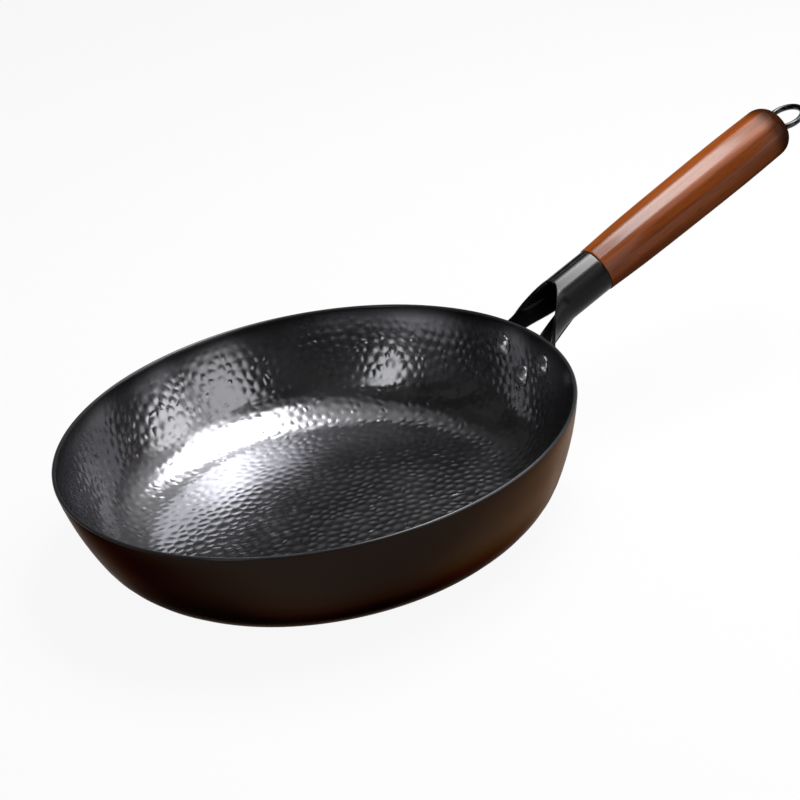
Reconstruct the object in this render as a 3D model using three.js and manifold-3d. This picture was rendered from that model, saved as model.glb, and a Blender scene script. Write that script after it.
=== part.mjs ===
// Hammered iron wok: a flat-bottomed bowl, a riveted steel bracket and a turned wood handle on a tie rod.
// Millimetres, +Z up. The origin is the centre of the flat base, and the handle points along +X.

import * as THREE from 'three';
import { mergeVertices } from 'three/addons/utils/BufferGeometryUtils.js';
import Module from 'manifold-3d';

const wasm = await Module();
wasm.setup();

const degrees = THREE.MathUtils.degToRad;

// Fits
const seatGap = 0.3; // between pieces that bear on each other
const boreGap = 0.3; // round a shank or rod in its hole

// Bowl
const rimRadius = 160;
const bowlDepth = 70;
const wallThickness = 2.5;
const rimLean = degrees(9.7); // of the wall from upright, at the rim
const wallArcRadius = 176; // of the side wall, seen in section
const cornerRadius = 45; // between the side wall and the flat base

// Handle line: where the wood starts, and how steeply it climbs
const gripReach = 56; // outwards from the rim
const gripRise = 22.5; // above the rim
const gripPitch = degrees(18.25);

// Wood grip
const gripLength = 167.5;
const gripNeckDiameter = 31.2;
const gripFlareDiameter = 34.2;
const gripFlareAt = 40;
const gripBellyDiameter = 36;
const gripBellyAt = 115;
const gripEndDiameter = 35.2;
const gripEndRound = 12;
const tenonLength = 14;
const pocketDiameter = 26; // in the end of the grip, round the foot of the loop

// Bracket, stamped from one sheet: a rolled socket with two legs above and a tongue below
const sheet = 2.5;
const socketDiameter = 30.6;
const socketLength = 32;
const seamWidth = 0.6;
const padRadius = 11; // of the pad round each rivet
const buriedShare = 0.8; // of the sheet's thickness, where a prong is buried in its pad
const notchAngle = degrees(19.5); // half of the opening between the legs, from the top of the socket
const notchSweep = degrees(62); // how far the rim of that opening turns round the socket
const legAngle = degrees(38); // lower edge of a leg, from the underside of the socket
const legPull = 8.5; // how far a leg runs on before it turns to the wall
const legInner = { beside: -3.8, above: 3.4, pull: 6, lean: 0 }; // landing of its lower edge by the rivet
const legOuter = { beside: 9.6, above: 6.4, pull: 17, lean: degrees(45) }; // and of its upper edge
const tongueAngle = degrees(33); // half of the tongue, from the underside of the socket
const tonguePull = 10;
const tongueHalfWidth = 8;
const tongueAbove = 6.3; // its landing on the wall, above the lower rivet
const tongueFootPull = 8;
const flangeDropNear = 4; // how far the tongue's edges are pressed down near the socket
const flangeDropFar = 9; // and near the wall

// Rivets
const rivetShankDiameter = 6;
const rivetHeadDiameter = 14.4;
const rivetHeadHeight = 3;
const rivetTailDiameter = 9;
const rivetTailHeight = 2;
const upperRivetSpacing = 45.6;
const upperRivetDepth = 15.6; // below the rim
const lowerRivetDepth = 29.5;

// Tie rod and its fastenings
const rodDiameter = 5;
const rodTail = 2; // past the weld nut
const rodEngagement = 6; // in the loop's boss
const discThickness = 2;
const discClearance = 1; // from the tenon, so that the rod pulls the grip onto the socket
const nutAcrossFlats = 8;
const nutThickness = 4;
const washerDiameter = 20;
const washerThickness = 1.2;

// Hanging loop
const loopRadius = 12; // to the middle of the wire
const wireDiameter = 4;
const loopReach = 7.5; // centre of the loop past the end of the grip
const bossDiameter = 10;
const bossLength = 8;

// Facets
const bowlFacets = 72;
const cornerSteps = 7;
const wallSteps = 6;
const rimSteps = 4;
const domeSteps = 4;
const padSteps = 8;
const gripFacets = 32;
const gripSteps = 18;
const gripEndSteps = 6;
const smallFacets = 20;
const wireFacets = 10;
const loopFacets = 36;
const tongueColumns = 3; // across half of the tongue
const legColumns = 9;
const seamColumns = 2;
const socketRows = 3;
const prongRows = 14;

const mergeDistance = 1e-4;

function solidOf(geometry) {
  const plain = geometry.clone();
  plain.deleteAttribute('normal');
  plain.deleteAttribute('uv');
  const merged = mergeVertices(plain, mergeDistance);
  const corners = merged.index.array;
  const triangles = [];
  for (let i = 0; i < corners.length; i += 3) {
    const [a, b, c] = corners.slice(i, i + 3);
    if (a !== b && b !== c && c !== a) triangles.push(a, b, c);
  }
  return new wasm.Manifold(new wasm.Mesh({
    numProp: 3,
    vertProperties: new Float32Array(merged.attributes.position.array),
    triVerts: new Uint32Array(triangles),
  }));
}

function geometryOf(solid) {
  const mesh = solid.getMesh();
  const geometry = new THREE.BufferGeometry();
  geometry.setAttribute('position', new THREE.BufferAttribute(mesh.vertProperties, 3));
  geometry.setIndex(new THREE.BufferAttribute(mesh.triVerts, 1));
  geometry.computeVertexNormals();
  return geometry;
}

// A turned piece about Z, from [radius, height] points listed anticlockwise.
function turned(points, facets) {
  const line = points.map(([radius, height]) => new THREE.Vector2(radius, height));
  return new THREE.LatheGeometry(line, facets).rotateX(Math.PI / 2);
}

function rod(diameter, from, to, facets = smallFacets) {
  return turned([[0, from], [diameter / 2, from], [diameter / 2, to], [0, to]], facets);
}

function ring(outer, inner, from, to, facets = smallFacets) {
  const section = [[inner, from], [outer, from], [outer, to], [inner, to], [inner, from]];
  return turned(section.map(([diameter, height]) => [diameter / 2, height]), facets);
}

// The bowl's section: a wall arc that runs tangent into a corner arc, and that into the flat base.
const wallCentre = new THREE.Vector2(
  rimRadius - wallArcRadius * Math.cos(rimLean),
  bowlDepth + wallArcRadius * Math.sin(rimLean),
);
const centreDrop = wallCentre.y - cornerRadius;
const centreSpan = wallArcRadius - cornerRadius;
const baseRadius = wallCentre.x + Math.sqrt(centreSpan ** 2 - centreDrop ** 2);
const tangentAngle = Math.asin(centreDrop / centreSpan);

// A point on the wall arc, or off it by an offset outwards, at an angle below the arc's centre.
function wallAt(angle, offset) {
  const radius = wallArcRadius + offset;
  return [wallCentre.x + radius * Math.cos(angle), wallCentre.y - radius * Math.sin(angle)];
}

function wallAngle(depth) {
  return Math.asin((wallArcRadius * Math.sin(rimLean) + depth) / wallArcRadius);
}

function arc(steps, from, to, pointAt) {
  return Array.from({ length: steps + 1 }, (_, i) => pointAt(from + (to - from) * i / steps));
}

// The outer skin from the base's centre up to the rim, moved outwards by an offset.
function bowlSkin(offset) {
  const radius = cornerRadius + offset;
  const corner = arc(cornerSteps, Math.PI / 2, tangentAngle, (angle) => [
    baseRadius + radius * Math.cos(angle),
    cornerRadius - radius * Math.sin(angle),
  ]);
  const wall = arc(wallSteps, tangentAngle, rimLean, (angle) => wallAt(angle, offset));
  return [[0, -offset], ...corner, ...wall.slice(1)];
}

function rimRound() {
  const half = wallThickness / 2;
  const [radius, height] = wallAt(rimLean, -half);
  const round = arc(rimSteps, -rimLean, Math.PI - rimLean, (angle) => [
    radius + half * Math.cos(angle),
    height + half * Math.sin(angle),
  ]);
  return round.slice(1, -1);
}

// Frame at a rivet: Z along the wall's outward normal, origin on the inner face of the wall.
function rivetFrame(lateral, depth) {
  const angle = wallAngle(depth);
  const [radius, height] = wallAt(angle, -wallThickness);
  const turn = Math.asin(lateral / radius);
  const place = new THREE.Matrix4().makeTranslation(radius, 0, height);
  const tilt = new THREE.Matrix4().makeRotationY(Math.PI / 2 + angle);
  return new THREE.Matrix4().makeRotationZ(turn).multiply(place).multiply(tilt);
}

const rivetFrames = {
  rivet_left: rivetFrame(upperRivetSpacing / 2, upperRivetDepth),
  rivet_right: rivetFrame(-upperRivetSpacing / 2, upperRivetDepth),
  rivet_lower: rivetFrame(0, lowerRivetDepth),
};
const rivetGrip = wallThickness + seatGap + sheet;

function withRivetHoles(solid) {
  const hole = rod(rivetShankDiameter + 2 * boreGap, -rivetGrip, 2 * rivetGrip);
  return Object.values(rivetFrames).reduce(
    (left, frame) => left.subtract(solidOf(hole.clone().applyMatrix4(frame))),
    solid,
  );
}

function wokBowl() {
  const profile = [...bowlSkin(0), ...rimRound(), ...bowlSkin(-wallThickness).reverse()];
  return geometryOf(withRivetHoles(solidOf(turned(profile, bowlFacets))));
}

// A low dome from the axis out to its edge, or the reverse.
function dome(diameter, height, base, side) {
  const radius = diameter / 2;
  const ball = (radius ** 2 + height ** 2) / (2 * height);
  const edge = Math.asin(radius / ball);
  return arc(domeSteps, 0, edge, (angle) => [
    ball * Math.sin(angle),
    base + side * (height - ball * (1 - Math.cos(angle))),
  ]);
}

function rivet() {
  const shank = rivetShankDiameter / 2;
  const wallHollow = rivetHeadDiameter ** 2 / (8 * rimRadius); // how far the wall curves up under the head
  const headBase = -seatGap - wallHollow;
  const tailBase = rivetGrip + seatGap;
  const head = dome(rivetHeadDiameter, rivetHeadHeight, headBase, -1);
  const tail = dome(rivetTailDiameter, rivetTailHeight, tailBase, 1).reverse();
  return turned([...head, [shank, headBase], [shank, tailBase], ...tail], smallFacets);
}

// Frame of the handle: Z along the grip, origin where the wood meets the socket, -X upwards.
const gripFrame = new THREE.Matrix4()
  .makeTranslation(rimRadius + gripReach, 0, bowlDepth + gripRise)
  .multiply(new THREE.Matrix4().makeRotationY(Math.PI / 2 - gripPitch));

const socketBore = socketDiameter - 2 * sheet;

// Stations along the handle's frame, from the loop down to the weld nut.
const loopCentre = gripLength + loopReach;
const bossTop = loopCentre - loopRadius;
const bossFoot = bossTop - bossLength;
const washerTop = bossFoot - seatGap;
const pocketFloor = washerTop - washerThickness - seatGap;
const rodEnd = bossFoot + rodEngagement;
const discTop = -tenonLength - discClearance;
const discFoot = discTop - discThickness;
const nutTop = discFoot - seatGap;
const nutFoot = nutTop - nutThickness;
const rodBore = rodDiameter + 2 * boreGap;

function woodHandle() {
  const side = new THREE.SplineCurve([
    new THREE.Vector2(gripNeckDiameter / 2, seatGap),
    new THREE.Vector2(gripFlareDiameter / 2, gripFlareAt),
    new THREE.Vector2(gripBellyDiameter / 2, gripBellyAt),
    new THREE.Vector2(gripEndDiameter / 2, gripLength - gripEndRound),
  ]).getPoints(gripSteps);
  const roundCentre = gripEndDiameter / 2 - gripEndRound;
  const round = arc(gripEndSteps, 0, Math.PI / 2, (angle) => [
    roundCentre + gripEndRound * Math.cos(angle),
    gripLength - gripEndRound * (1 - Math.sin(angle)),
  ]);
  const tenon = socketBore / 2 - boreGap;
  const profile = [
    [rodBore / 2, -tenonLength],
    [tenon, -tenonLength],
    [tenon, seatGap],
    ...side.map((point) => [point.x, point.y]),
    ...round.slice(1),
    [rodBore / 2, gripLength],
    [rodBore / 2, -tenonLength],
  ];
  const pocket = rod(pocketDiameter, pocketFloor, loopCentre, gripFacets);
  return geometryOf(solidOf(turned(profile, gripFacets)).subtract(solidOf(pocket)));
}

function tieRod() {
  return rod(rodDiameter, nutFoot - rodTail, rodEnd);
}

function socketDisc() {
  return ring(socketBore - 2 * seatGap, rodBore, discFoot, discTop, gripFacets);
}

function weldNut() {
  const hexagon = rod(nutAcrossFlats / Math.cos(Math.PI / 6), nutFoot, nutTop, 6);
  return geometryOf(solidOf(hexagon).subtract(solidOf(rod(rodBore, nutFoot - rodTail, discFoot))));
}

function endWasher() {
  return ring(washerDiameter, rodBore, washerTop - washerThickness, washerTop);
}

function hangingLoop() {
  const wire = new THREE.TorusGeometry(loopRadius, wireDiameter / 2, wireFacets, loopFacets)
    .rotateY(Math.PI / 2)
    .translate(0, 0, loopCentre);
  const boss = solidOf(rod(bossDiameter, bossFoot, bossTop));
  const bore = solidOf(rod(rodBore, washerTop, rodEnd + boreGap));
  return geometryOf(solidOf(wire).add(boss).subtract(bore));
}

// A sheet of even thickness over a grid of cells, closed along every free edge.
function thickened(rows, columns, hasCell, pointAt, normalAt, thicknessAt) {
  const layer = rows * columns;
  const positions = [];
  for (const face of [1, -1]) {
    for (let i = 0; i < rows; i += 1) {
      for (let j = 0; j < columns; j += 1) {
        const lift = face * thicknessAt(i) / 2;
        positions.push(...pointAt(i, j).addScaledVector(normalAt(i, j), lift));
      }
    }
  }
  const index = [];
  const edges = new Set();
  for (let i = 0; i + 1 < rows; i += 1) {
    for (let j = 0; j + 1 < columns; j += 1) {
      if (!hasCell(i, j)) continue;
      const a = i * columns + j;
      const corners = [a, a + columns, a + columns + 1, a + 1];
      const [b, c, d] = corners.slice(1);
      index.push(a, b, c, a, c, d);
      index.push(layer + a, layer + c, layer + b, layer + a, layer + d, layer + c);
      corners.forEach((from, k) => edges.add(`${from} ${corners[(k + 1) % 4]}`));
    }
  }
  for (const edge of edges) {
    const [from, to] = edge.split(' ').map(Number);
    if (edges.has(`${to} ${from}`)) continue;
    index.push(to, from, layer + from, to, layer + from, layer + to);
  }
  const geometry = new THREE.BufferGeometry();
  geometry.setAttribute('position', new THREE.Float32BufferAttribute(positions, 3));
  geometry.setIndex(index);
  return geometry;
}

// The rolled socket, its two legs and its tongue as one sheet. Each fibre of the sheet starts at an angle
// round the socket, counted from its underside, leaves along the axis and turns down onto the bowl's wall.
function rolledSheet() {
  const middle = (socketDiameter - sheet) / 2;
  const seam = Math.PI - seamWidth / socketDiameter;
  const notch = Math.PI - notchAngle;
  const steps = (count, from, to) => arc(count, from, to, (angle) => angle).slice(1);
  const half = [
    ...steps(tongueColumns, 0, tongueAngle),
    ...steps(1, tongueAngle, legAngle),
    ...steps(legColumns, legAngle, notch),
    ...steps(seamColumns, notch, seam),
  ];
  const angles = [...half.map((angle) => -angle).reverse(), 0, ...half];
  const { lerp } = THREE.MathUtils;

  const socketPoint = (angle, along) =>
    new THREE.Vector3(middle * Math.cos(angle), middle * Math.sin(angle), along).applyMatrix4(gripFrame);
  // A place on the wall, with the direction down the wall from it, leant outwards.
  const landing = (lateral, depth, lean) => {
    const slope = wallAngle(depth);
    const [radius, height] = wallAt(slope, seatGap + sheet / 2);
    const turn = new THREE.Matrix4().makeRotationZ(Math.asin(lateral / radius));
    const outwards = Math.sign(lateral) * Math.sin(lean);
    const point = new THREE.Vector3(radius, 0, height).applyMatrix4(turn);
    const down = new THREE.Vector3(-Math.sin(slope), 0, -Math.cos(slope)).multiplyScalar(Math.cos(lean));
    return [point, down.setY(outwards).transformDirection(turn)];
  };
  const legFibre = (angle) => {
    const across = (Math.abs(angle) - legAngle) / (notch - legAngle);
    const foot = {};
    for (const key of Object.keys(legInner)) foot[key] = lerp(legInner[key], legOuter[key], across);
    const lateral = Math.sign(angle) * (upperRivetSpacing / 2 + foot.beside);
    const [end, down] = landing(lateral, upperRivetDepth - foot.above, foot.lean);
    const sweep = notchSweep * across ** 2;
    const leaving = new THREE.Vector3(
      Math.abs(Math.sin(angle)) * Math.sin(sweep),
      -Math.sign(angle) * Math.cos(angle) * Math.sin(sweep),
      -Math.cos(sweep),
    ).transformDirection(gripFrame);
    const start = socketPoint(angle, -socketLength);
    const turnOff = start.clone().addScaledVector(leaving, legPull);
    return new THREE.CubicBezierCurve3(start, turnOff, end.clone().addScaledVector(down, -foot.pull), end);
  };
  const tongueFibre = (angle) => {
    const across = angle / tongueAngle;
    const [end, down] = landing(tongueHalfWidth * across, lowerRivetDepth - tongueAbove, 0);
    const leaving = new THREE.Vector3(0, 0, -1).transformDirection(gripFrame);
    const start = socketPoint(angle, -socketLength);
    const near = start.clone().addScaledVector(leaving, tonguePull);
    const far = end.clone().addScaledVector(down, -tongueFootPull);
    near.z -= flangeDropNear * across ** 2;
    far.z -= flangeDropFar * across ** 2;
    return new THREE.CubicBezierCurve3(start, near, far, end);
  };
  const slack = 1e-6;
  const onTongue = (angle) => Math.abs(angle) < tongueAngle + slack;
  const onLeg = (angle) => Math.abs(angle) > legAngle - slack && Math.abs(angle) < notch + slack;
  const onProng = (angle) => onTongue(angle) || onLeg(angle);
  const prongPoint = (angle, along) =>
    (onTongue(angle) ? tongueFibre(angle) : legFibre(angle)).getPoint(along);

  const pointAt = (i, j) => {
    if (i > socketRows && onProng(angles[j])) return prongPoint(angles[j], (i - socketRows) / prongRows);
    return socketPoint(angles[j], -socketLength * Math.min(i / socketRows, 1));
  };
  const normalAt = (i, j) => {
    const angle = angles[j];
    if (i <= socketRows || !onProng(angle)) {
      return new THREE.Vector3(Math.cos(angle), Math.sin(angle), 0).transformDirection(gripFrame);
    }
    const along = (i - socketRows) / prongRows;
    const fibre = onTongue(angle) ? tongueFibre : legFibre;
    const step = 1e-3;
    const ahead = fibre(angle).getTangent(along);
    const beside = fibre(angle + step).getPoint(along).sub(fibre(angle - step).getPoint(along));
    return ahead.cross(beside).normalize();
  };
  const hasCell = (i, j) => {
    const [from, to] = [angles[j], angles[j + 1]];
    return i < socketRows || (onTongue(from) && onTongue(to)) || (onLeg(from) && onLeg(to));
  };
  const lastRow = socketRows + prongRows;
  const thicknessAt = (i) => (i === lastRow ? buriedShare : 1) * sheet;
  return thickened(lastRow + 1, angles.length, hasCell, pointAt, normalAt, thicknessAt);
}

// A round pad behind a rivet, pressed to the curve of the wall.
function rivetPad(frame) {
  const top = wallAngle(upperRivetDepth - padRadius - sheet);
  const foot = wallAngle(lowerRivetDepth + padRadius + sheet);
  const inner = arc(padSteps, top, foot, (angle) => wallAt(angle, seatGap));
  const outer = arc(padSteps, foot, top, (angle) => wallAt(angle, seatGap + sheet));
  const shell = turned([...inner, ...outer, inner[0]], bowlFacets);
  const punch = rod(2 * padRadius, -rivetGrip, 3 * rivetGrip, gripFacets).applyMatrix4(frame);
  return solidOf(shell).intersect(solidOf(punch));
}

function handleBracket() {
  const clearOfBowl = bowlSkin(seatGap);
  const bowlRoom = turned([...clearOfBowl, [0, clearOfBowl.at(-1)[1]]], bowlFacets);
  const joined = Object.values(rivetFrames).reduce(
    (solid, frame) => solid.add(rivetPad(frame)),
    solidOf(rolledSheet()),
  );
  return geometryOf(withRivetHoles(joined.subtract(solidOf(bowlRoom))));
}

const blackIron = { color: 0x26272a, roughness: 0.45, metalness: 0.7 };
const blackEnamel = { color: 0x0e0f11, roughness: 0.25, metalness: 0.2 };
const polishedSteel = { color: 0xbfc1c4, roughness: 0.2, metalness: 1 };
const plainSteel = { color: 0x85878a, roughness: 0.45, metalness: 1 };
const redBrownWood = { color: 0x8a4020, roughness: 0.35, metalness: 0 };

function piece(name, geometry, finish) {
  const mesh = new THREE.Mesh(geometry, new THREE.MeshStandardMaterial(finish));
  mesh.name = name;
  return mesh;
}

const wok = new THREE.Group();
wok.add(piece('wok_bowl', wokBowl(), blackIron));
wok.add(piece('handle_bracket', handleBracket(), blackEnamel));
for (const [name, frame] of Object.entries(rivetFrames)) {
  const fastener = piece(name, rivet(), polishedSteel);
  fastener.applyMatrix4(frame);
  wok.add(fastener);
}

const handle = new THREE.Group();
handle.applyMatrix4(gripFrame);
handle.add(
  piece('wood_handle', woodHandle(), redBrownWood),
  piece('tie_rod', tieRod(), plainSteel),
  piece('socket_disc', socketDisc(), plainSteel),
  piece('weld_nut', weldNut(), plainSteel),
  piece('end_washer', endWasher(), plainSteel),
  piece('hanging_loop', hangingLoop(), polishedSteel),
);
wok.add(handle);

export default wok;
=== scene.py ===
import math
import random

import bmesh
import bpy
from mathutils import Euler, Matrix, Vector, noise
from mathutils.geometry import delaunay_2d_cdt, interpolate_bezier


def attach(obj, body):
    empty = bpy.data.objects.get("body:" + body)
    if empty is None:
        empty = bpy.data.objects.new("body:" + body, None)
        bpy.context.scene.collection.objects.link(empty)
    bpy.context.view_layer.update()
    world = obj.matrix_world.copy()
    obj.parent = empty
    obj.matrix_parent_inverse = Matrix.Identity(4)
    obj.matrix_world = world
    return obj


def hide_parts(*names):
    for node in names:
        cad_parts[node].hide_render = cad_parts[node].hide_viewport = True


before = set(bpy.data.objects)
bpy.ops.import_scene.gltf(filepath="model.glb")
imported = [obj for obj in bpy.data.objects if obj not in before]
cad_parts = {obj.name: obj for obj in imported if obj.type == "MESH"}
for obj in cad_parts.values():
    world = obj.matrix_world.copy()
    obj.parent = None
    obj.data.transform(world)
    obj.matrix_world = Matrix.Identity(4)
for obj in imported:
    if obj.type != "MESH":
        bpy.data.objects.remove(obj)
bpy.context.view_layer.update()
mm = 0.001
mergeDistance = 0.001 * mm
degrees = math.radians


# Camera: a long lens that looks down into the bowl, with the handle going away to the right

cameraView = {
    "position": (-395.3 * mm, -893.5 * mm, 555.4 * mm),
    "heading": degrees(27.0),  # from +Y towards +X
    "pitch": degrees(-26.35),
    "roll": degrees(-9.6),
    "lens": 81.0,
    "sensor": 36.0,
    "farthest": 100.0,
}


def makeCamera():
    data = bpy.data.cameras.new("photoCamera")
    data.lens = cameraView["lens"]
    data.sensor_width = cameraView["sensor"]
    data.clip_end = cameraView["farthest"]
    camera = bpy.data.objects.new("photoCamera", data)
    bpy.context.collection.objects.link(camera)
    turn = Matrix.Rotation(-cameraView["heading"], 4, "Z")
    tilt = Matrix.Rotation(math.pi / 2 + cameraView["pitch"], 4, "X")
    roll = Matrix.Rotation(cameraView["roll"], 4, "Z")
    camera.matrix_world = Matrix.Translation(cameraView["position"]) @ turn @ tilt @ roll
    bpy.context.scene.camera = camera


makeCamera()
print("camera placed")


# Shared helpers for shader nodes

def addNode(tree, kind, settings=None, **inputs):
    node = tree.nodes.new("ShaderNode" + kind)
    for name, value in (settings or {}).items():
        setattr(node, name, value)
    feed(tree, node, **inputs)
    return node


# Sets inputs by name, each to a value or from another node
def feed(tree, node, **inputs):
    for name, value in inputs.items():
        fill(tree, node.inputs[name.replace("_", " ")], value)


def fill(tree, socket, value):
    if isinstance(value, bpy.types.NodeSocket):
        tree.links.new(value, socket)
    else:
        socket.default_value = value


def colour(red, green, blue):
    return (red, green, blue, 1.0)


def emptyTree(owner):
    owner.use_nodes = True
    owner.node_tree.nodes.clear()
    return owner.node_tree


def newMaterial(name, **inputs):
    material = bpy.data.materials.new(name)
    tree = emptyTree(material)
    shader = addNode(tree, "BsdfPrincipled", None, **inputs)
    addNode(tree, "OutputMaterial", None, Surface=shader.outputs["BSDF"])
    return material, tree, shader


# The Mix node has inputs for several kinds of value, and these numbers are those of a colour
def mixColours(tree, share, first, second):
    node = addNode(tree, "Mix", {"data_type": "RGBA"})
    for number, value in ((0, share), (6, first), (7, second)):
        fill(tree, node.inputs[number], value)
    return node.outputs[2]


def mapRange(tree, value, low, high, newLow, newHigh):
    node = addNode(tree, "MapRange", {"interpolation_type": "SMOOTHSTEP"}, Value=value,
                   From_Min=low, From_Max=high, To_Min=newLow, To_Max=newHigh)
    return node.outputs["Result"]


def addMath(tree, operation, first, second):
    node = addNode(tree, "Math", {"operation": operation})
    fill(tree, node.inputs[0], first)
    fill(tree, node.inputs[1], second)
    return node.outputs[0]


# Fine unevenness of the metal and the enamel: a height for a bump and a patchy mask
def makeUnevenness():
    group = bpy.data.node_groups.new("unevenness", "ShaderNodeTree")
    group.interface.new_socket("Vector", in_out="INPUT", socket_type="NodeSocketVector")
    for name in ("Fine Scale", "Patch Scale"):
        group.interface.new_socket(name, in_out="INPUT", socket_type="NodeSocketFloat")
    for name in ("Height", "Patch"):
        group.interface.new_socket(name, in_out="OUTPUT", socket_type="NodeSocketFloat")
    source = group.nodes.new("NodeGroupInput")
    result = group.nodes.new("NodeGroupOutput")
    fine = addNode(group, "TexNoise", None, Vector=source.outputs["Vector"],
                   Scale=source.outputs["Fine Scale"], Detail=3.0, Roughness=0.6)
    patch = addNode(group, "TexNoise", None, Vector=source.outputs["Vector"],
                    Scale=source.outputs["Patch Scale"], Detail=4.0, Roughness=0.55)
    group.links.new(fine.outputs["Fac"], result.inputs["Height"])
    group.links.new(patch.outputs["Fac"], result.inputs["Patch"])
    return group


unevenness = makeUnevenness()


def addUnevenness(tree, vector, fineScale, patchScale):
    node = addNode(tree, "Group", {"node_tree": unevenness}, Vector=vector,
                   Fine_Scale=fineScale, Patch_Scale=patchScale)
    return node.outputs["Height"], node.outputs["Patch"]


noiseSpan = (0.3, 0.7)  # what a noise seldom leaves


def addRoughness(tree, shader, patch, smoothest, roughest):
    feed(tree, shader, Roughness=mapRange(tree, patch, *noiseSpan, smoothest, roughest))


def addBump(tree, shader, height, strength, distance):
    bump = addNode(tree, "Bump", None, Height=height, Strength=strength, Distance=distance)
    feed(tree, shader, Normal=bump.outputs["Normal"])


# Shared helpers for meshes

def finishPiece(name, bm, materials, node):
    mesh = bpy.data.meshes.new(name)
    bm.to_mesh(mesh)
    bm.free()
    for material in materials:
        mesh.materials.append(material)
    for polygon in mesh.polygons:
        polygon.use_smooth = True
    piece = bpy.data.objects.new(name, mesh)
    bpy.context.collection.objects.link(piece)
    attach(piece, "root")
    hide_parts(node)
    return piece


# Spins [radius, height] points about Z, and rounds the sharp edges
def turned(points, steps, rounding=0.0, segments=2):
    bm = bmesh.new()
    line = [bm.verts.new((radius, 0, height)) for radius, height in points]
    for first, second in zip(line, line[1:]):
        bm.edges.new((first, second))
    bmesh.ops.spin(bm, geom=bm.verts[:] + bm.edges[:], cent=(0, 0, 0), axis=(0, 0, 1), dvec=(0, 0, 0),
                   angle=2 * math.pi, steps=steps, use_merge=True, use_duplicate=False)
    bmesh.ops.remove_doubles(bm, verts=bm.verts[:], dist=mergeDistance)
    bmesh.ops.recalc_face_normals(bm, faces=bm.faces[:])
    if rounding:
        roundEdges(bm, rounding, segments)
    return bm


def roundEdges(bm, offset, segments, sharpAngle=degrees(35)):
    sharp = [edge for edge in bm.edges if edge.is_manifold and edge.calc_face_angle() > sharpAngle]
    bmesh.ops.bevel(bm, geom=sharp, offset=offset, offset_type="OFFSET", segments=segments, profile=0.5,
                    affect="EDGES", clamp_overlap=True, material=-1)


# Bowl: a hammered inside, a plain band under the rim, and a smooth outside

bowl = {
    "rimRadius": 160 * mm,
    "depth": 70 * mm,
    "wall": 2.5 * mm,
    "rimLean": degrees(9.7),
    "wallArc": 176 * mm,
    "cornerArc": 45 * mm,
    "cellWidth": 6.75 * mm,
    "cellPitch": 6.4 * mm,
    "plainBand": 6 * mm,
    "jitter": 0.45,  # share of a cell by which a blow misses its place
    "lastJitter": 0.18,
    "roundness": 0.4,
    "dimple": [(0.8, 0.03 * mm), (0.45, 0.19 * mm)],  # share of the cell, depth
    "dimpleFloor": 0.04 * mm,
    "fading": (48 * mm, 66 * mm, 0.2),  # heights between which the blows grow lighter, and their last force
    "tilt": 0.02,  # largest slope of a blow that lands askew
    "widest": 0.96,  # share of the cell that a rounded dimple may fill
    "bandStart": 0.72,  # share of the plain band above its first ring
    "bandRings": 3,
    "rimRings": 7,
    "wallRings": 7,
    "cornerRings": 9,
    "baseRings": (0.97, 0.7, 0.4, 0.0),  # shares of the flat base's radius
    "wornRim": (69.4 * mm, 70.9 * mm),  # heights between which a finish changes
    "dullRim": (60 * mm, 69.8 * mm),
    # heights between which the outside's sheen is darkened towards the base: painted shade
    "paintedBaseShade": (8 * mm, 46 * mm),
    "seed": 7,
}

wallCentre = Vector((
    bowl["rimRadius"] - bowl["wallArc"] * math.cos(bowl["rimLean"]),
    bowl["depth"] + bowl["wallArc"] * math.sin(bowl["rimLean"]),
))
centreDrop = wallCentre.y - bowl["cornerArc"]
centreSpan = bowl["wallArc"] - bowl["cornerArc"]
baseRadius = wallCentre.x + math.sqrt(centreSpan ** 2 - centreDrop ** 2)
tangentAngle = math.asin(centreDrop / centreSpan)


# Radius and height on the bowl's skin where its normal points down by an angle
def skinPoint(angle, offset):
    if angle > tangentAngle:
        radius = bowl["cornerArc"] + offset
        return baseRadius + radius * math.cos(angle), bowl["cornerArc"] - radius * math.sin(angle)
    radius = bowl["wallArc"] + offset
    return wallCentre.x + radius * math.cos(angle), wallCentre.y - radius * math.sin(angle)


cornerLength = (bowl["cornerArc"] - bowl["wall"]) * (math.pi / 2 - tangentAngle)
wallLength = (bowl["wallArc"] - bowl["wall"]) * (tangentAngle - bowl["rimLean"])
insideLength = baseRadius + cornerLength + wallLength


# Radius and height on the inner skin, by the way along it from the middle of the base
def insidePoint(along):
    if along < baseRadius:
        return along, bowl["wall"]
    along -= baseRadius
    if along < cornerLength:
        return skinPoint(math.pi / 2 - along / (bowl["cornerArc"] - bowl["wall"]), -bowl["wall"])
    along -= cornerLength
    return skinPoint(tangentAngle - along / (bowl["wallArc"] - bowl["wall"]), -bowl["wall"])


def spread(first, last, count):
    return [first + (last - first) * i / count for i in range(count + 1)]


hammeredLength = insideLength - bowl["plainBand"]


# Places of the hammer blows, in rings, on the inner skin laid flat. The last ring is mirrored
# outwards, so that the hammered field ends in a circle
def hammerPlaces():
    dice = random.Random(bowl["seed"])
    rings = round(hammeredLength / bowl["cellPitch"])
    pitch = hammeredLength / (rings + 0.5)
    places = [Vector((0, 0))]
    for ring in range(1, rings + 1):
        count = round(2 * math.pi * insidePoint(ring * pitch)[0] / bowl["cellWidth"])
        phase = dice.random()
        loose = bowl["jitter"] if ring < rings else bowl["lastJitter"]
        for i in range(count):
            angle = 2 * math.pi * (i + phase + dice.uniform(-loose, loose)) / count
            along = pitch * (ring + dice.uniform(-loose, loose))
            outwards = Vector((math.cos(angle), math.sin(angle)))
            places.append(outwards * along)
            if ring == rings:
                places.append(outwards * (2 * hammeredLength - along))
    return places


def placeRound(vert, radius, height):
    angle = math.atan2(vert.co.y, vert.co.x)
    vert.co = (radius * math.cos(angle), radius * math.sin(angle), height)


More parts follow.
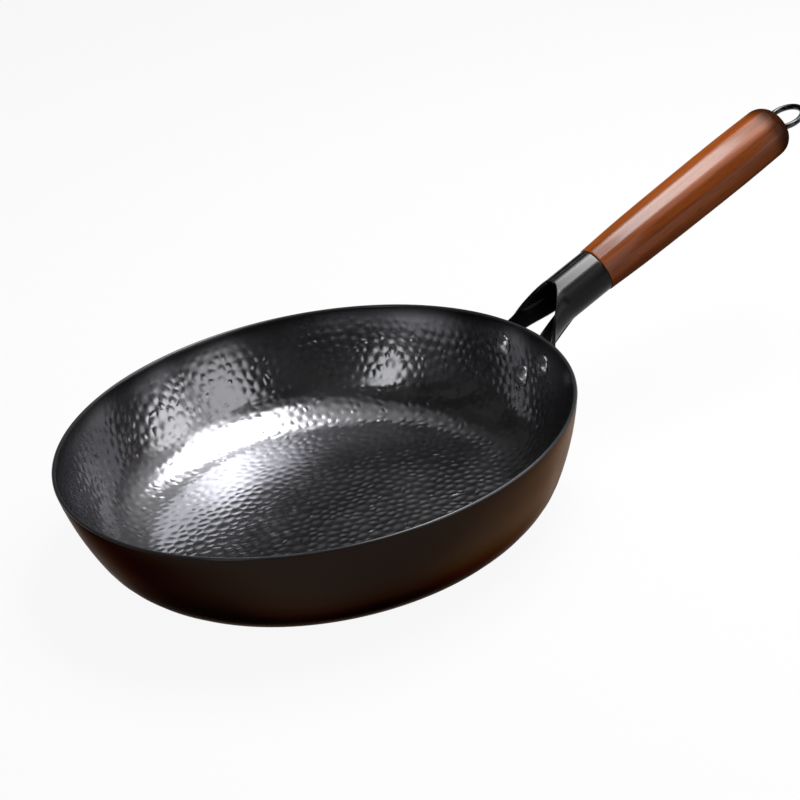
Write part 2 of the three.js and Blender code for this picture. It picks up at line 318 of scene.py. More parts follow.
def makeBowl(inside, outside):
    coords, _, triangles, *_ = delaunay_2d_cdt(hammerPlaces(), [], [], 0, mergeDistance)
    bm = bmesh.new()
    sites = [bm.verts.new((co.x, co.y, 0)) for co in coords]
    for corners in triangles:
        bm.faces.new([sites[i] for i in corners])

    # Turning every edge between two blows makes the ridge between them
    ridges = [edge for edge in bm.edges if not edge.is_boundary]
    bmesh.ops.poke(bm, faces=bm.faces[:])
    bmesh.ops.rotate_edges(bm, edges=ridges, use_ccw=False)
    blows = [vert for vert in sites if vert.co.length < hammeredLength]
    mirrored = [vert for vert in sites if vert.co.length > hammeredLength]
    bmesh.ops.delete(bm, geom=mirrored, context="VERTS")
    bmesh.ops.dissolve_verts(bm, verts=blows)
    bmesh.ops.bisect_edges(bm, edges=bm.edges[:], cuts=1)
    for vert in bm.verts:
        placeRound(vert, *insidePoint(vert.co.xy.length))
    bm.normal_update()
    if next(iter(bm.faces)).normal.z < 0:
        bmesh.ops.reverse_faces(bm, faces=bm.faces[:])
    cells = bm.faces[:]
    sinkCells(bm, cells)
    tiltCells(cells)
    bmesh.ops.poke(bm, faces=cells, offset=-bowl["dimpleFloor"])

    # The plain band, the rim and the outside grow from the edge of the hammered field
    rim = [edge for edge in bm.edges if edge.is_boundary]
    half = bowl["wall"] / 2
    rimCentre = skinPoint(bowl["rimLean"], -half)
    rings = [insidePoint(along) for along in
             spread(insideLength - bowl["bandStart"] * bowl["plainBand"], insideLength, bowl["bandRings"])]
    for turn in spread(math.pi - bowl["rimLean"], -bowl["rimLean"], bowl["rimRings"])[1:-1]:
        rings.append((rimCentre[0] + half * math.cos(turn), rimCentre[1] + half * math.sin(turn)))
    innerCount = len(rings)
    rings += [skinPoint(angle, 0) for angle in spread(bowl["rimLean"], tangentAngle, bowl["wallRings"])]
    rings += [skinPoint(angle, 0) for angle in spread(tangentAngle, math.pi / 2, bowl["cornerRings"])[1:]]
    rings += [(baseRadius * share, 0) for share in bowl["baseRings"]]
    for number, (radius, height) in enumerate(rings):
        grown = bmesh.ops.extrude_edge_only(bm, edges=rim)["geom"]
        rim = [part for part in grown if isinstance(part, bmesh.types.BMEdge) and part.is_boundary]
        for part in grown:
            if isinstance(part, bmesh.types.BMVert):
                placeRound(part, radius, height)
            if isinstance(part, bmesh.types.BMFace):
                part.material_index = 0 if number < innerCount else 1
    bmesh.ops.remove_doubles(bm, verts=bm.verts[:], dist=mergeDistance)
    bmesh.ops.recalc_face_normals(bm, faces=bm.faces[:])
    return finishPiece("hammeredBowl", bm, [inside, outside], "wok_bowl")


# Insets every cell ring by ring, each ring smaller and deeper than the last, and rounds the first
def sinkCells(bm, cells):
    low, high, least = bowl["fading"]
    blows = [(cell, cell.calc_center_median(), cell.normal.copy()) for cell in cells]
    size, sunk = 1.0, 0.0
    for newSize, newSunk in bowl["dimple"]:
        bmesh.ops.inset_individual(bm, faces=cells, thickness=0)
        for cell, centre, normal in blows:
            force = max(least, min(1.0, (high - centre.z) / (high - low)))
            if size == 1.0:
                roundCell(cell, centre, bowl["widest"] / newSize)
            for vert in cell.verts:
                flat = vert.co - centre + normal * sunk * force
                vert.co = centre + flat * (newSize / size) - normal * newSunk * force
        size, sunk = newSize, newSunk


# The hammer's face is round, so the dimples are rounder than the cells that they lie in
def roundCell(cell, centre, most):
    reach = [(vert.co - centre).length for vert in cell.verts]
    mean = sum(reach) / len(reach)
    for vert, length in zip(cell.verts, reach):
        vert.co = centre + (vert.co - centre) * min(1 + bowl["roundness"] * (mean / length - 1), most)


# Each blow lands a little askew
def tiltCells(cells):
    dice = random.Random(bowl["seed"] + 1)
    for cell in cells:
        centre = cell.calc_center_median()
        normal = cell.normal.copy()
        lean = Vector((dice.uniform(-1, 1), dice.uniform(-1, 1), dice.uniform(-1, 1))) * bowl["tilt"]
        for vert in cell.verts:
            vert.co += normal * lean.dot(vert.co - centre)


def makeInsideFinish():
    material, tree, shader = newMaterial("seasonedIron", IOR=3.6, Specular_Tint=colour(0.95, 0.95, 1.0))
    where = addNode(tree, "TexCoord").outputs["Object"]
    height, patch = addUnevenness(tree, where, 1600.0, 28.0)
    tone = mixColours(tree, patch, colour(0.005, 0.005, 0.0053), colour(0.008, 0.008, 0.0084))
    axes = addNode(tree, "SeparateXYZ", None, Vector=where)
    worn = mapRange(tree, axes.outputs["Z"], *bowl["wornRim"], 0.0, 1.0)
    tone = mixColours(tree, worn, tone, colour(0.025, 0.025, 0.026))
    gleam = mapRange(tree, axes.outputs["Z"], *bowl["dullRim"], 0.5, 0.05)
    feed(tree, shader, Base_Color=tone, Specular_IOR_Level=gleam)
    addRoughness(tree, shader, patch, 0.15, 0.2)
    addBump(tree, shader, height, 0.25, 0.05 * mm)
    return material


def makeOutsideFinish():
    material, tree, shader = newMaterial("brownedIron", Metallic=1.0)
    where = addNode(tree, "TexCoord").outputs["Object"]
    height, patch = addUnevenness(tree, where, 900.0, 14.0)
    tone = mixColours(tree, patch, colour(0.012, 0.0085, 0.007), colour(0.02, 0.014, 0.011))
    heat = addNode(tree, "TexNoise", None, Vector=where, Scale=5.0, Detail=1.0, Roughness=0.4)
    browned = mapRange(tree, heat.outputs["Fac"], 0.4, 0.62, 0.0, 1.0)
    sheen = mixColours(tree, browned, colour(0.42, 0.34, 0.3), colour(0.84, 0.65, 0.55))
    axes = addNode(tree, "SeparateXYZ", None, Vector=where)
    # Painted shade: the sheen grows darker towards the base, so the lower edge reflects less of the pale
    # floor
    paintedBaseShadeMask = mapRange(tree, axes.outputs["Z"], *bowl["paintedBaseShade"], 0.85, 0.0)
    sheen = mixColours(tree, paintedBaseShadeMask, sheen, colour(0.2, 0.165, 0.145))
    feed(tree, shader, Base_Color=tone, Specular_Tint=sheen)
    addRoughness(tree, shader, patch, 0.3, 0.42)
    addBump(tree, shader, height, 0.2, 0.04 * mm)
    return material


makeBowl(makeInsideFinish(), makeOutsideFinish())
print("bowl hammered")


# Rivets: low domes, a little uneven from the hammer

rivet = {
    "shank": 6 * mm,
    "head": 14.4 * mm,
    "headHeight": 3 * mm,
    "tail": 9 * mm,
    "tailHeight": 2 * mm,
    "seat": 0.3 * mm,
    "spacing": 45.6 * mm,
    "upperDepth": 15.6 * mm,
    "lowerDepth": 29.5 * mm,
    "steps": 48,
    "domeSteps": 9,
    "edge": 0.35 * mm,
    "dents": 0.16 * mm,
    "dentSize": 3.2 * mm,
}
sheetThickness = 2.5 * mm
rivetGrip = bowl["wall"] + rivet["seat"] + sheetThickness


def wallAngle(depth):
    return math.asin((bowl["wallArc"] * math.sin(bowl["rimLean"]) + depth) / bowl["wallArc"])


def rivetFrame(lateral, depth):
    angle = wallAngle(depth)
    radius, height = skinPoint(angle, -bowl["wall"])
    turn = Matrix.Rotation(math.asin(lateral / radius), 4, "Z")
    return turn @ Matrix.Translation((radius, 0, height)) @ Matrix.Rotation(math.pi / 2 + angle, 4, "Y")


def dome(diameter, height, base, side):
    radius = diameter / 2
    ball = (radius ** 2 + height ** 2) / (2 * height)
    turns = spread(0, math.asin(radius / ball), rivet["domeSteps"])
    return [(ball * math.sin(turn), base + side * (height - ball * (1 - math.cos(turn)))) for turn in turns]


def makeRivet(name, node, lateral, depth, finish):
    wallHollow = rivet["head"] ** 2 / (8 * bowl["rimRadius"])  # how far the wall curves up under the head
    headBase = -rivet["seat"] - wallHollow
    tailBase = rivetGrip + rivet["seat"]
    shank = rivet["shank"] / 2
    head = dome(rivet["head"], rivet["headHeight"], headBase, -1)
    tail = dome(rivet["tail"], rivet["tailHeight"], tailBase, 1)[::-1]
    points = head + [(shank, headBase), (shank, tailBase)] + tail
    bm = turned(points, rivet["steps"], rivet["edge"], segments=3)
    bmesh.ops.transform(bm, matrix=rivetFrame(lateral, depth), verts=bm.verts[:])
    bm.normal_update()
    for vert in bm.verts:
        vert.co += vert.normal * rivet["dents"] * noise.noise(vert.co / rivet["dentSize"])
    return finishPiece(name, bm, [finish], node)


def makeRivetFinish():
    material, tree, shader = newMaterial("beatenSteel", Metallic=1.0, Base_Color=colour(0.68, 0.68, 0.69))
    where = addNode(tree, "TexCoord").outputs["Object"]
    height, patch = addUnevenness(tree, where, 420.0, 300.0)
    addRoughness(tree, shader, patch, 0.17, 0.31)
    addBump(tree, shader, height, 0.5, 0.4 * mm)
    return material


rivetFinish = makeRivetFinish()
makeRivet("rivetLeft", "rivet_left", rivet["spacing"] / 2, rivet["upperDepth"], rivetFinish)
makeRivet("rivetRight", "rivet_right", -rivet["spacing"] / 2, rivet["upperDepth"], rivetFinish)
makeRivet("rivetLower", "rivet_lower", 0, rivet["lowerDepth"], rivetFinish)
print("rivets set")


# Bracket: one stamped sheet, rolled into a socket, with two legs and a tongue riveted to the wall

bracket = {
    "socket": 30.6 * mm,
    "socketLength": 32 * mm,
    "seam": 0.6 * mm,
    "padRadius": 11 * mm,
    "notchAngle": degrees(19.5),
    "notchSweep": degrees(62),
    "legAngle": degrees(38),
    "legPull": 8.5 * mm,
    "legInner": (-3.8 * mm, 3.4 * mm, 6 * mm, 0.0),  # landing beside and above its rivet, pull, lean
    "legOuter": (9.6 * mm, 6.4 * mm, 17 * mm, degrees(45)),
    "tongueAngle": degrees(33),
    "tonguePull": 10 * mm,
    "tongueHalfWidth": 8 * mm,
    "tongueAbove": 6.3 * mm,
    "tongueFootPull": 8 * mm,
    "flangeNear": 4 * mm,
    "flangeFar": 9 * mm,
    "footFan": degrees(75),  # half of the round end of a foot that its fibres reach
    "footPull": 3 * mm,
    "tongueColumns": 4,
    "legColumns": 12,
    "seamColumns": 3,
    "socketRows": 8,
    "prongRows": 16,
    "footRows": 6,
    "edge": 0.3 * mm,
    "sharpEdge": degrees(50),
    "enamelShadeSpan": (-13.5 * mm, -6 * mm),  # across the handle, from its glossy top to its dull underside: painted shade that keeps the underside dark
}
grip = {
    "start": 216 * mm,
    "rise": 22.5 * mm,
    "pitch": degrees(18.25),
    "length": 167.5 * mm,
    "neck": 31.2 * mm,
    "flare": (40 * mm, 34.2 * mm),
    "belly": (115 * mm, 36 * mm),
    "end": 35.2 * mm,
    "endRound": 12 * mm,
    "tenon": 14 * mm,
    "pocket": 26 * mm,
    "gap": 0.3 * mm,
    "edge": 0.4 * mm,
    "steps": 96,
    "sideSteps": 16,
    "endSteps": 10,
    "grain": 0.045,  # scale of the wood's figure along the handle, against that across it
    "stainAndShade": (22.8 * mm, 7 * mm),  # from the end, where its dark stain and painted shade begin and are full
    "woodShadeSpan": (-9 * mm, 6 * mm),  # across the handle, from its glossy top to its dull underside: painted shade that keeps the underside dark
}
gripFrame = (Matrix.Translation((grip["start"], 0, bowl["depth"] + grip["rise"]))
             @ Matrix.Rotation(math.pi / 2 - grip["pitch"], 4, "Y"))
gripTurn = gripFrame.to_3x3()


# The handle's own axes for its finishes: Z along it, X down from its middle
def addHandleAxes(tree, vector):
    node = addNode(tree, "Mapping", {"vector_type": "TEXTURE"}, Vector=vector,
                   Location=gripFrame.to_translation(), Rotation=Euler((0, math.pi / 2 - grip["pitch"], 0)))
    return node.outputs["Vector"]


# A place on the outside of the wall, for the middle of the sheet, and the way down the wall from it
def wallLanding(lateral, depth, lean=0.0):
    angle = wallAngle(depth)
    radius, height = skinPoint(angle, rivet["seat"] + sheetThickness / 2)
    turn = Matrix.Rotation(math.asin(lateral / radius), 3, "Z")
    sideways = math.copysign(math.sin(lean), lateral)
    down = Vector((-math.sin(angle) * math.cos(lean), sideways, -math.cos(angle) * math.cos(lean)))
    return turn @ Vector((radius, 0, height)), turn @ down.normalized()


def bezierPoint(points, share):
    rest = 1 - share
    weights = (rest ** 3, 3 * rest ** 2 * share, 3 * rest * share ** 2, share ** 3)
    return sum((point * weight for point, weight in zip(points, weights)), Vector())


def socketPoint(angle, along):
    middle = (bracket["socket"] - sheetThickness) / 2
    return gripFrame @ Vector((middle * math.cos(angle), middle * math.sin(angle), along))


def legFibre(angle):
    notch = math.pi - bracket["notchAngle"]
    across = (abs(angle) - bracket["legAngle"]) / (notch - bracket["legAngle"])
    side = math.copysign(1, angle)
    beside, above, pull, lean = (a + (b - a) * across for a, b in
                                 zip(bracket["legInner"], bracket["legOuter"]))
    end, down = wallLanding(side * (rivet["spacing"] / 2 + beside), rivet["upperDepth"] - above, lean)
    sweep = bracket["notchSweep"] * across ** 2
    leaving = gripTurn @ Vector((
        abs(math.sin(angle)) * math.sin(sweep),
        -side * math.cos(angle) * math.sin(sweep),
        -math.cos(sweep),
    ))
    start = socketPoint(angle, -bracket["socketLength"])
    upper = (start, start + leaving * bracket["legPull"], end - down * pull, end)
    fan = bracket["footFan"] * (2 * across - 1)
    foot, _ = wallLanding(
        side * (rivet["spacing"] / 2 + bracket["padRadius"] * math.sin(fan)),
        rivet["upperDepth"] + bracket["padRadius"] * math.cos(fan),
    )
    return upper, footCurve(end, down, foot)


def tongueFibre(angle):
    across = angle / bracket["tongueAngle"]
    depth = rivet["lowerDepth"] - bracket["tongueAbove"]
    end, down = wallLanding(bracket["tongueHalfWidth"] * across, depth)
    start = socketPoint(angle, -bracket["socketLength"])
    near = start - gripTurn @ Vector((0, 0, bracket["tonguePull"]))
    far = end - down * bracket["tongueFootPull"]
    near.z -= bracket["flangeNear"] * across ** 2
    far.z -= bracket["flangeFar"] * across ** 2
    fan = bracket["footFan"] * across
    foot, _ = wallLanding(
        bracket["padRadius"] * math.sin(fan),
        rivet["lowerDepth"] + bracket["padRadius"] * math.cos(fan),
    )
    return (start, near, far, end), footCurve(end, down, foot)


def footCurve(start, down, end):
    pull = bracket["footPull"]
    return start, start + down * pull, end - down * pull, end


def makeBracket(finish):
    notch = math.pi - bracket["notchAngle"]
    seam = math.pi - bracket["seam"] / bracket["socket"]
    half = spread(0, bracket["tongueAngle"], bracket["tongueColumns"])
    half += spread(bracket["legAngle"], notch, bracket["legColumns"])
    half += spread(notch, seam, bracket["seamColumns"])[1:]
    angles = [-angle for angle in half[:0:-1]] + half
    socketRows, prongRows, footRows = bracket["socketRows"], bracket["prongRows"], bracket["footRows"]
    lastRow = socketRows + prongRows + footRows
    slack = 1e-6

    def onTongue(angle):
        return abs(angle) < bracket["tongueAngle"] + slack

    def onLeg(angle):
        return bracket["legAngle"] - slack < abs(angle) < notch + slack

    def place(row, angle):
        if row <= socketRows or not (onTongue(angle) or onLeg(angle)):
            return socketPoint(angle, -bracket["socketLength"] * min(row / socketRows, 1))
        upper, foot = tongueFibre(angle) if onTongue(angle) else legFibre(angle)
        share = (row - socketRows) / prongRows
        if share <= 1:
            return bezierPoint(upper, share)
        return bezierPoint(foot, (row - socketRows - prongRows) / footRows)

    bm = bmesh.new()
    bmesh.ops.create_grid(bm, x_segments=len(angles) - 1, y_segments=lastRow, size=1)
    spare = []
    for face in bm.faces:
        middle = face.calc_center_median()
        column = int((middle.x + 1) / 2 * (len(angles) - 1))
        row = int((middle.y + 1) / 2 * lastRow)
        first, second = angles[column], angles[column + 1]
        kept = onTongue(first) and onTongue(second) or onLeg(first) and onLeg(second)
        if row >= socketRows and not kept:
            spare.append(face)
    bmesh.ops.delete(bm, geom=spare, context="FACES")
    for vert in bm.verts:
        column = round((vert.co.x + 1) / 2 * (len(angles) - 1))
        row = round((vert.co.y + 1) / 2 * lastRow)
        vert.co = place(row, angles[column])
    bmesh.ops.recalc_face_normals(bm, faces=bm.faces[:])
    piece = finishPiece("stampedBracket", bm, [finish], "handle_bracket")
    thicken = piece.modifiers.new("sheet", "SOLIDIFY")
    thicken.thickness = sheetThickness
    thicken.offset = 0
    thicken.use_even_offset = False
    soften = piece.modifiers.new("edges", "BEVEL")
    soften.width = bracket["edge"]
    soften.segments = 2
    soften.limit_method = "ANGLE"
    soften.angle_limit = bracket["sharpEdge"]
    smooth = piece.modifiers.new("surface", "SUBSURF")
    smooth.levels = 1
    smooth.render_levels = 1
    return piece


def makeEnamel():
    material, tree, shader = newMaterial("blackEnamel", Specular_IOR_Level=0.03, Coat_Roughness=0.17)
    where = addNode(tree, "TexCoord").outputs["Object"]
    height, patch = addUnevenness(tree, where, 260.0, 45.0)
    tone = mixColours(tree, patch, colour(0.003, 0.003, 0.0034), colour(0.007, 0.0068, 0.007))
    axes = addNode(tree, "SeparateXYZ", None, Vector=addHandleAxes(tree, where))
    # Painted shade: less coat on the underside, so that it reflects less of the pale floor
    enamelGlossWithShade = mapRange(tree, axes.outputs["X"], *bracket["enamelShadeSpan"], 0.85, 0.2)
    feed(tree, shader, Base_Color=tone, Coat_Weight=enamelGlossWithShade)
    addRoughness(tree, shader, patch, 0.3, 0.45)
    addBump(tree, shader, height, 0.12, 0.1 * mm)
    return material


makeBracket(makeEnamel())
print("bracket stamped")


# Grip: turned wood under a clear varnish, with a round end and a pocket for the loop

tie = {
    "rod": 5 * mm,
    "rodTail": 2 * mm,
    "engagement": 6 * mm,
    "disc": 2 * mm,
    "discClearance": 1 * mm,
    "nutFlats": 8 * mm,
    "nut": 4 * mm,
    "washer": 20 * mm,
    "washerThickness": 1.2 * mm,
    "bore": 0.3 * mm,
    "edge": 0.25 * mm,
    "steps": 48,
    "nutBoreSteps": 24,
}
loop = {
    "radius": 12 * mm,
    "wire": 4 * mm,
    "reach": 7.5 * mm,
    "boss": 10 * mm,
    "bossLength": 8 * mm,
    "wireSteps": 24,
    "steps": 96,
    "edge": 0.8 * mm,
}
loopCentre = grip["length"] + loop["reach"]
bossTop = loopCentre - loop["radius"]
bossFoot = bossTop - loop["bossLength"]
washerTop = bossFoot - grip["gap"]
pocketFloor = washerTop - tie["washerThickness"] - grip["gap"]
discTop = -grip["tenon"] - tie["discClearance"]
discFoot = discTop - tie["disc"]
nutTop = discFoot - grip["gap"]
nutFoot = nutTop - tie["nut"]
rodBore = tie["rod"] / 2 + tie["bore"]
socketBore = bracket["socket"] / 2 - sheetThickness


def alongHandle(bm):
    bmesh.ops.transform(bm, matrix=gripFrame, verts=bm.verts[:])
    return bm


# A smooth line through the grip's half diameters
def gripSide():
    knots = [
        (grip["neck"] / 2, grip["gap"]),
        (grip["flare"][1] / 2, grip["flare"][0]),
        (grip["belly"][1] / 2, grip["belly"][0]),
        (grip["end"] / 2, grip["length"] - grip["endRound"]),
    ]
    knots = [Vector(knot) for knot in knots]
    ahead = [knots[0]] + knots + [knots[-1]]
    line = []
    for before, start, end, after in zip(ahead, ahead[1:], ahead[2:], ahead[3:]):
        leave, arrive = start + (end - before) / 6, end - (after - start) / 6
        line += interpolate_bezier(start, leave, arrive, end, grip["sideSteps"])[:-1]
    return [(point.x, point.y) for point in line]


def makeGrip(finish):
    roundCentre = grip["end"] / 2 - grip["endRound"]
    pocket = grip["pocket"] / 2
    lip = math.acos((pocket - roundCentre) / grip["endRound"])
    end = [(roundCentre + grip["endRound"] * math.cos(turn),
            grip["length"] - grip["endRound"] * (1 - math.sin(turn)))
           for turn in spread(0, lip, grip["endSteps"])]
    tenon = socketBore - tie["bore"]
    points = [(rodBore, -grip["tenon"]), (tenon, -grip["tenon"]), (tenon, grip["gap"])]
    points += gripSide() + end
    points += [(pocket, pocketFloor), (rodBore, pocketFloor), (rodBore, -grip["tenon"])]
    bm = alongHandle(turned(points, grip["steps"], grip["edge"]))
    return finishPiece("woodGrip", bm, [finish], "wood_handle")


def makeWood():
    material, tree, shader = newMaterial("varnishedWood", Specular_IOR_Level=0.0, Coat_Roughness=0.14,
                                         Coat_IOR=2.3)
    where = addNode(tree, "TexCoord").outputs["Object"]
    along = addHandleAxes(tree, where)
    drawn = addNode(tree, "Mapping", None, Vector=along, Scale=(1, 1, grip["grain"])).outputs["Vector"]
    fibre = addNode(tree, "TexNoise", None, Vector=drawn, Scale=650.0,
                    Detail=5.0, Roughness=0.65, Distortion=0.2)
    bands = addNode(tree, "TexNoise", None, Vector=drawn, Scale=120.0,
                    Detail=3.0, Roughness=0.5, Distortion=0.6)
    pores = addNode(tree, "TexNoise", None, Vector=drawn, Scale=1500.0, Detail=2.0, Roughness=0.5)
    tone = mixColours(tree, mapRange(tree, bands.outputs["Fac"], 0.35, 0.65, 0.0, 1.0),
                      colour(0.16, 0.036, 0.006), colour(0.26, 0.062, 0.01))
    tone = mixColours(tree, mapRange(tree, fibre.outputs["Fac"], 0.45, 0.75, 0.0, 0.5),
                      tone, colour(0.075, 0.016, 0.005))
    tone = mixColours(tree, mapRange(tree, pores.outputs["Fac"], 0.62, 0.72, 0.0, 0.5),
                      tone, colour(0.03, 0.007, 0.003))
    axes = addNode(tree, "SeparateXYZ", None, Vector=along)
    # Partly a dark stain and partly painted shade: the end grows darker and loses its coat, in place of the
    # shade on the rounded end
    darkeningStart, darkeningFull = (grip["length"] - distance for distance in grip["stainAndShade"])
    stainAndShadeMask = mapRange(tree, axes.outputs["Z"], darkeningStart, darkeningFull, 0.0, 0.92)
    tone = mixColours(tree, stainAndShadeMask, tone, colour(0.01, 0.004, 0.002))
    varnish = mapRange(tree, stainAndShadeMask, 0.0, 0.9, 0.2, 0.03)
    # Painted shade: less coat on the underside, so that it reflects less of the pale floor
    woodGlossWithShade = mapRange(tree, axes.outputs["X"], *grip["woodShadeSpan"], 1.0, 0.12)
    feed(tree, shader, Base_Color=tone, Coat_Weight=addMath(tree, "MULTIPLY", varnish, woodGlossWithShade))
    addRoughness(tree, shader, fibre.outputs["Fac"], 0.3, 0.45)
    addBump(tree, shader, fibre.outputs["Fac"], 0.1, 0.1 * mm)
    return material


makeGrip(makeWood())
print("grip turned")


# Tie rod, disc, nut and washer inside the handle, and the wire loop that draws them tight

def makePlainSteel():
    material, tree, shader = newMaterial("plainSteel", Metallic=1.0)
    where = addNode(tree, "TexCoord").outputs["Object"]
    height, patch = addUnevenness(tree, where, 1200.0, 160.0)
    tone = mixColours(tree, patch, colour(0.3, 0.3, 0.31), colour(0.42, 0.42, 0.42))
    feed(tree, shader, Base_Color=tone)
    addRoughness(tree, shader, patch, 0.3, 0.5)
    addBump(tree, shader, height, 0.15, 0.05 * mm)
    return material


def makeSteelPaintedDark():
    material, tree, shader = newMaterial("steelPaintedDark", Metallic=1.0)
    where = addNode(tree, "TexCoord").outputs["Object"]
    height, patch = addUnevenness(tree, where, 900.0, 120.0)
    # Painted shade: the polished steel's colour is darkened to stand in for the dark surroundings that it
    # reflects
    tone = mixColours(tree, patch, colour(0.04, 0.04, 0.042), colour(0.06, 0.06, 0.06))
    feed(tree, shader, Base_Color=tone)
    addRoughness(tree, shader, patch, 0.06, 0.16)
    addBump(tree, shader, height, 0.06, 0.05 * mm)
    return material


def ringPoints(outer, inner, low, high):
    return [(inner, low), (outer, low), (outer, high), (inner, high), (inner, low)]


def makeTie(finish):
    rod = tie["rod"] / 2
    low, high = nutFoot - tie["rodTail"], bossFoot + tie["engagement"]
    bm = turned([(0, low), (rod, low), (rod, high), (0, high)], tie["steps"], tie["edge"])
    finishPiece("tieRod", alongHandle(bm), [finish], "tie_rod")
    disc = ringPoints(socketBore - grip["gap"], rodBore, discFoot, discTop)
    bm = turned(disc, grip["steps"], tie["edge"])
    finishPiece("socketDisc", alongHandle(bm), [finish], "socket_disc")
    washer = ringPoints(tie["washer"] / 2, rodBore, washerTop - tie["washerThickness"], washerTop)
    bm = turned(washer, tie["steps"], tie["edge"])
    finishPiece("endWasher", alongHandle(bm), [finish], "end_washer")
    makeNut(finish)


def makeNut(finish):
    bm = bmesh.new()
    corner = tie["nutFlats"] / 2 / math.cos(math.pi / 6)
    bmesh.ops.create_circle(bm, segments=6, radius=corner)
    bmesh.ops.rotate(bm, verts=bm.verts[:], cent=(0, 0, 0), matrix=Matrix.Rotation(math.pi / 2, 3, "Z"))
    bmesh.ops.create_circle(bm, segments=tie["nutBoreSteps"], radius=rodBore)
    bmesh.ops.bridge_loops(bm, edges=bm.edges[:])
    top = bmesh.ops.extrude_face_region(bm, geom=bm.faces[:])["geom"]
    raised = [part for part in top if isinstance(part, bmesh.types.BMVert)]
    bmesh.ops.translate(bm, verts=raised, vec=(0, 0, tie["nut"]))
    bmesh.ops.recalc_face_normals(bm, faces=bm.faces[:])
    roundEdges(bm, tie["edge"], segments=2)
    bmesh.ops.translate(bm, verts=bm.verts[:], vec=(0, 0, nutFoot))
    finishPiece("weldNut", alongHandle(bm), [finish], "weld_nut")


def makeLoop(finish):
    boss = loop["boss"] / 2
    points = [(rodBore, bossFoot), (boss, bossFoot), (boss, bossTop), (0, bossTop)]
    blind = bossFoot + tie["engagement"] + tie["bore"]
    points += [(0, blind), (rodBore, blind), (rodBore, bossFoot)]
    bm = turned(points, tie["steps"], loop["edge"], segments=4)
    wire = bmesh.ops.create_circle(bm, segments=loop["wireSteps"], radius=loop["wire"] / 2)["verts"]
    edges = list({edge for vert in wire for edge in vert.link_edges})
    bmesh.ops.translate(bm, verts=wire, vec=(0, loop["radius"], loopCentre))
    bmesh.ops.spin(bm, geom=wire + edges, cent=(0, 0, loopCentre), axis=(1, 0, 0), dvec=(0, 0, 0),
                   angle=2 * math.pi, steps=loop["steps"], use_merge=True, use_duplicate=False)
    bmesh.ops.recalc_face_normals(bm, faces=bm.faces[:])
    finishPiece("hangingLoop", alongHandle(bm), [finish], "hanging_loop")


makeTie(makePlainSteel())
makeLoop(makeSteelPaintedDark())
print("handle fastened")


# Stage: a pale floor, a pale horizon under a dim ceiling, and soft boxes

stage = {
    "floorRadius": 20.0,
    "floorSteps": 64,
    "floorDrop": 0.2 * mm,
    "floorTone": 0.12,
    "floorPale": 0.7,  # in the camera's view, where the shadow lies on it
    "floorGlow": 0.92,
    "floorStrength": 1.0,
    "backdrop": 0.94,
    "horizon": 0.02,  # how steeply a ray may rise and still meet the pale backdrop
    "ceiling": (0.01, 0.055),  # darkest and lightest patches
    "patchSpan": (0.36, 0.64),  # of the noise that makes them
    "glow": 0.55,  # of the ceiling round the overhead boxes
    "glowCentre": (0.45, 0.0, 0.9),
    "glowSpan": (0.6, 0.93),  # cosines at its edge and where it is full
    "skyLight": 0.1,
}
softBoxes = {  # place and aim in metres, turn about the line between them, width, height, brightness
    "overhead": ((0.525, 0.03, 1.0), (0.525, 0.03, 0.0), degrees(-17.5), 0.81, 1.02, 4.0),
    "core": ((0.365, 0.04, 0.99), (0.365, 0.04, 0.0), 0.0, 0.24, 0.8, 8.5),
    "front": ((0.72, -0.64, 0.95), (0.1, 0.0, 0.05), degrees(-30), 0.7, 0.4, 1.1),
    "left": ((-1.3, -0.5, 0.82), (0.0, 0.0, 0.02), 0.0, 0.34, 0.9, 1.6),
    "right": ((1.25, -0.9, 0.5), (0.0, 0.0, 0.02), 0.0, 0.8, 0.8, 2.0),
    "nearRight": ((0.22, -0.54, 0.29), (-0.13, 0.02, 0.05), 0.0, 0.32, 0.45, 1.05),
}


def backdropRays(tree):
    path = addNode(tree, "LightPath")
    rays = addMath(tree, "MAXIMUM", path.outputs["Is Camera Ray"], path.outputs["Is Glossy Ray"])
    return addMath(tree, "MAXIMUM", rays, path.outputs["Is Transmission Ray"])


def makeFloor():
    bm = bmesh.new()
    bmesh.ops.create_circle(bm, cap_ends=True, segments=stage["floorSteps"], radius=stage["floorRadius"])
    bmesh.ops.translate(bm, verts=bm.verts[:], vec=(0, 0, -stage["floorDrop"]))
    mesh = bpy.data.meshes.new("floor")
    bm.to_mesh(mesh)
    bm.free()
    floor = bpy.data.objects.new("floor", mesh)
    bpy.context.collection.objects.link(floor)
    material = bpy.data.materials.new("paleFloor")
    tree = emptyTree(material)
    tone, pale = stage["floorTone"], stage["floorPale"]
    seen = addNode(tree, "LightPath").outputs["Is Camera Ray"]
    shade = mixColours(tree, seen, colour(tone, tone, tone), colour(pale, pale, pale))
    matt = addNode(tree, "BsdfDiffuse", None, Color=shade)
    glow = addNode(tree, "Emission", None, Strength=stage["floorStrength"])
    share = addMath(tree, "MULTIPLY", backdropRays(tree), stage["floorGlow"])
    addNode(tree, "OutputMaterial", None, Surface=mixShaders(tree, share, matt, glow))
    mesh.materials.append(material)


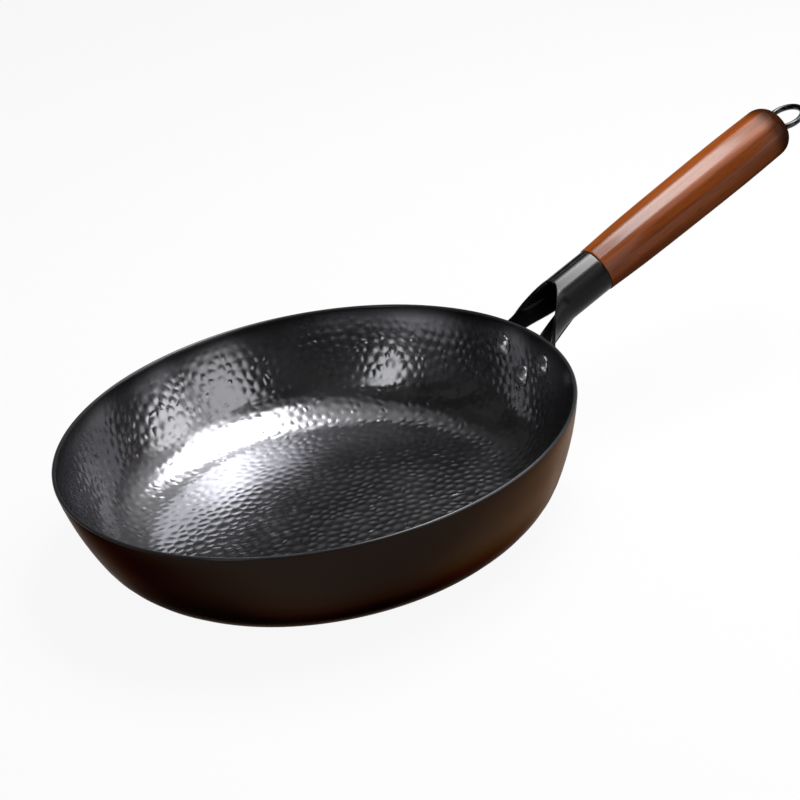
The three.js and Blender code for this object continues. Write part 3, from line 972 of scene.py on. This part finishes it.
def mixShaders(tree, share, first, second):
    node = addNode(tree, "MixShader", None, Fac=share)
    fill(tree, node.inputs[1], first.outputs[0])
    fill(tree, node.inputs[2], second.outputs[0])
    return node.outputs[0]


def makeSky():
    world = bpy.data.worlds.new("studio")
    bpy.context.scene.world = world
    tree = emptyTree(world)
    direction = addNode(tree, "TexCoord").outputs["Generated"]
    axes = addNode(tree, "SeparateXYZ", None, Vector=direction)
    patches = addNode(tree, "TexNoise", None, Vector=direction, Scale=3.0, Detail=1.0, Roughness=0.5)
    ceiling = mapRange(tree, patches.outputs["Fac"], *stage["patchSpan"], *stage["ceiling"])
    towards = addNode(tree, "VectorMath", {"operation": "DOT_PRODUCT"})
    fill(tree, towards.inputs[0], direction)
    fill(tree, towards.inputs[1], Vector(stage["glowCentre"]).normalized())
    glow = mapRange(tree, towards.outputs["Value"], *stage["glowSpan"], 0.0, stage["glow"])
    pale = stage["backdrop"]
    horizon = mapRange(tree, axes.outputs["Z"], 0.0, stage["horizon"], 1.0, 0.0)
    seen = mixColours(tree, horizon, addMath(tree, "ADD", ceiling, glow), colour(pale, pale, pale))
    path = addNode(tree, "LightPath")
    seen = mixColours(tree, path.outputs["Is Camera Ray"], seen, colour(pale, pale, pale))
    backdrop = addNode(tree, "Background", None, Color=seen)
    light = addNode(tree, "Background", None, Strength=stage["skyLight"])
    blend = mixShaders(tree, backdropRays(tree), light, backdrop)
    addNode(tree, "OutputWorld", None, Surface=blend)


def makeSoftBoxes():
    for name, (place, aim, turn, width, height, brightness) in softBoxes.items():
        data = bpy.data.lights.new(name, "AREA")
        data.shape = "RECTANGLE"
        data.size = width
        data.size_y = height
        data.energy = brightness * math.pi * width * height
        lamp = bpy.data.objects.new(name, data)
        bpy.context.collection.objects.link(lamp)
        facing = (Vector(place) - Vector(aim)).to_track_quat("Z", "Y").to_matrix()
        lamp.matrix_world = Matrix.Translation(place) @ (facing @ Matrix.Rotation(turn, 3, "Z")).to_4x4()
        lamp.visible_camera = False


makeFloor()
makeSky()
makeSoftBoxes()
bpy.context.scene.view_settings.view_transform = "Standard"
print("stage lit")
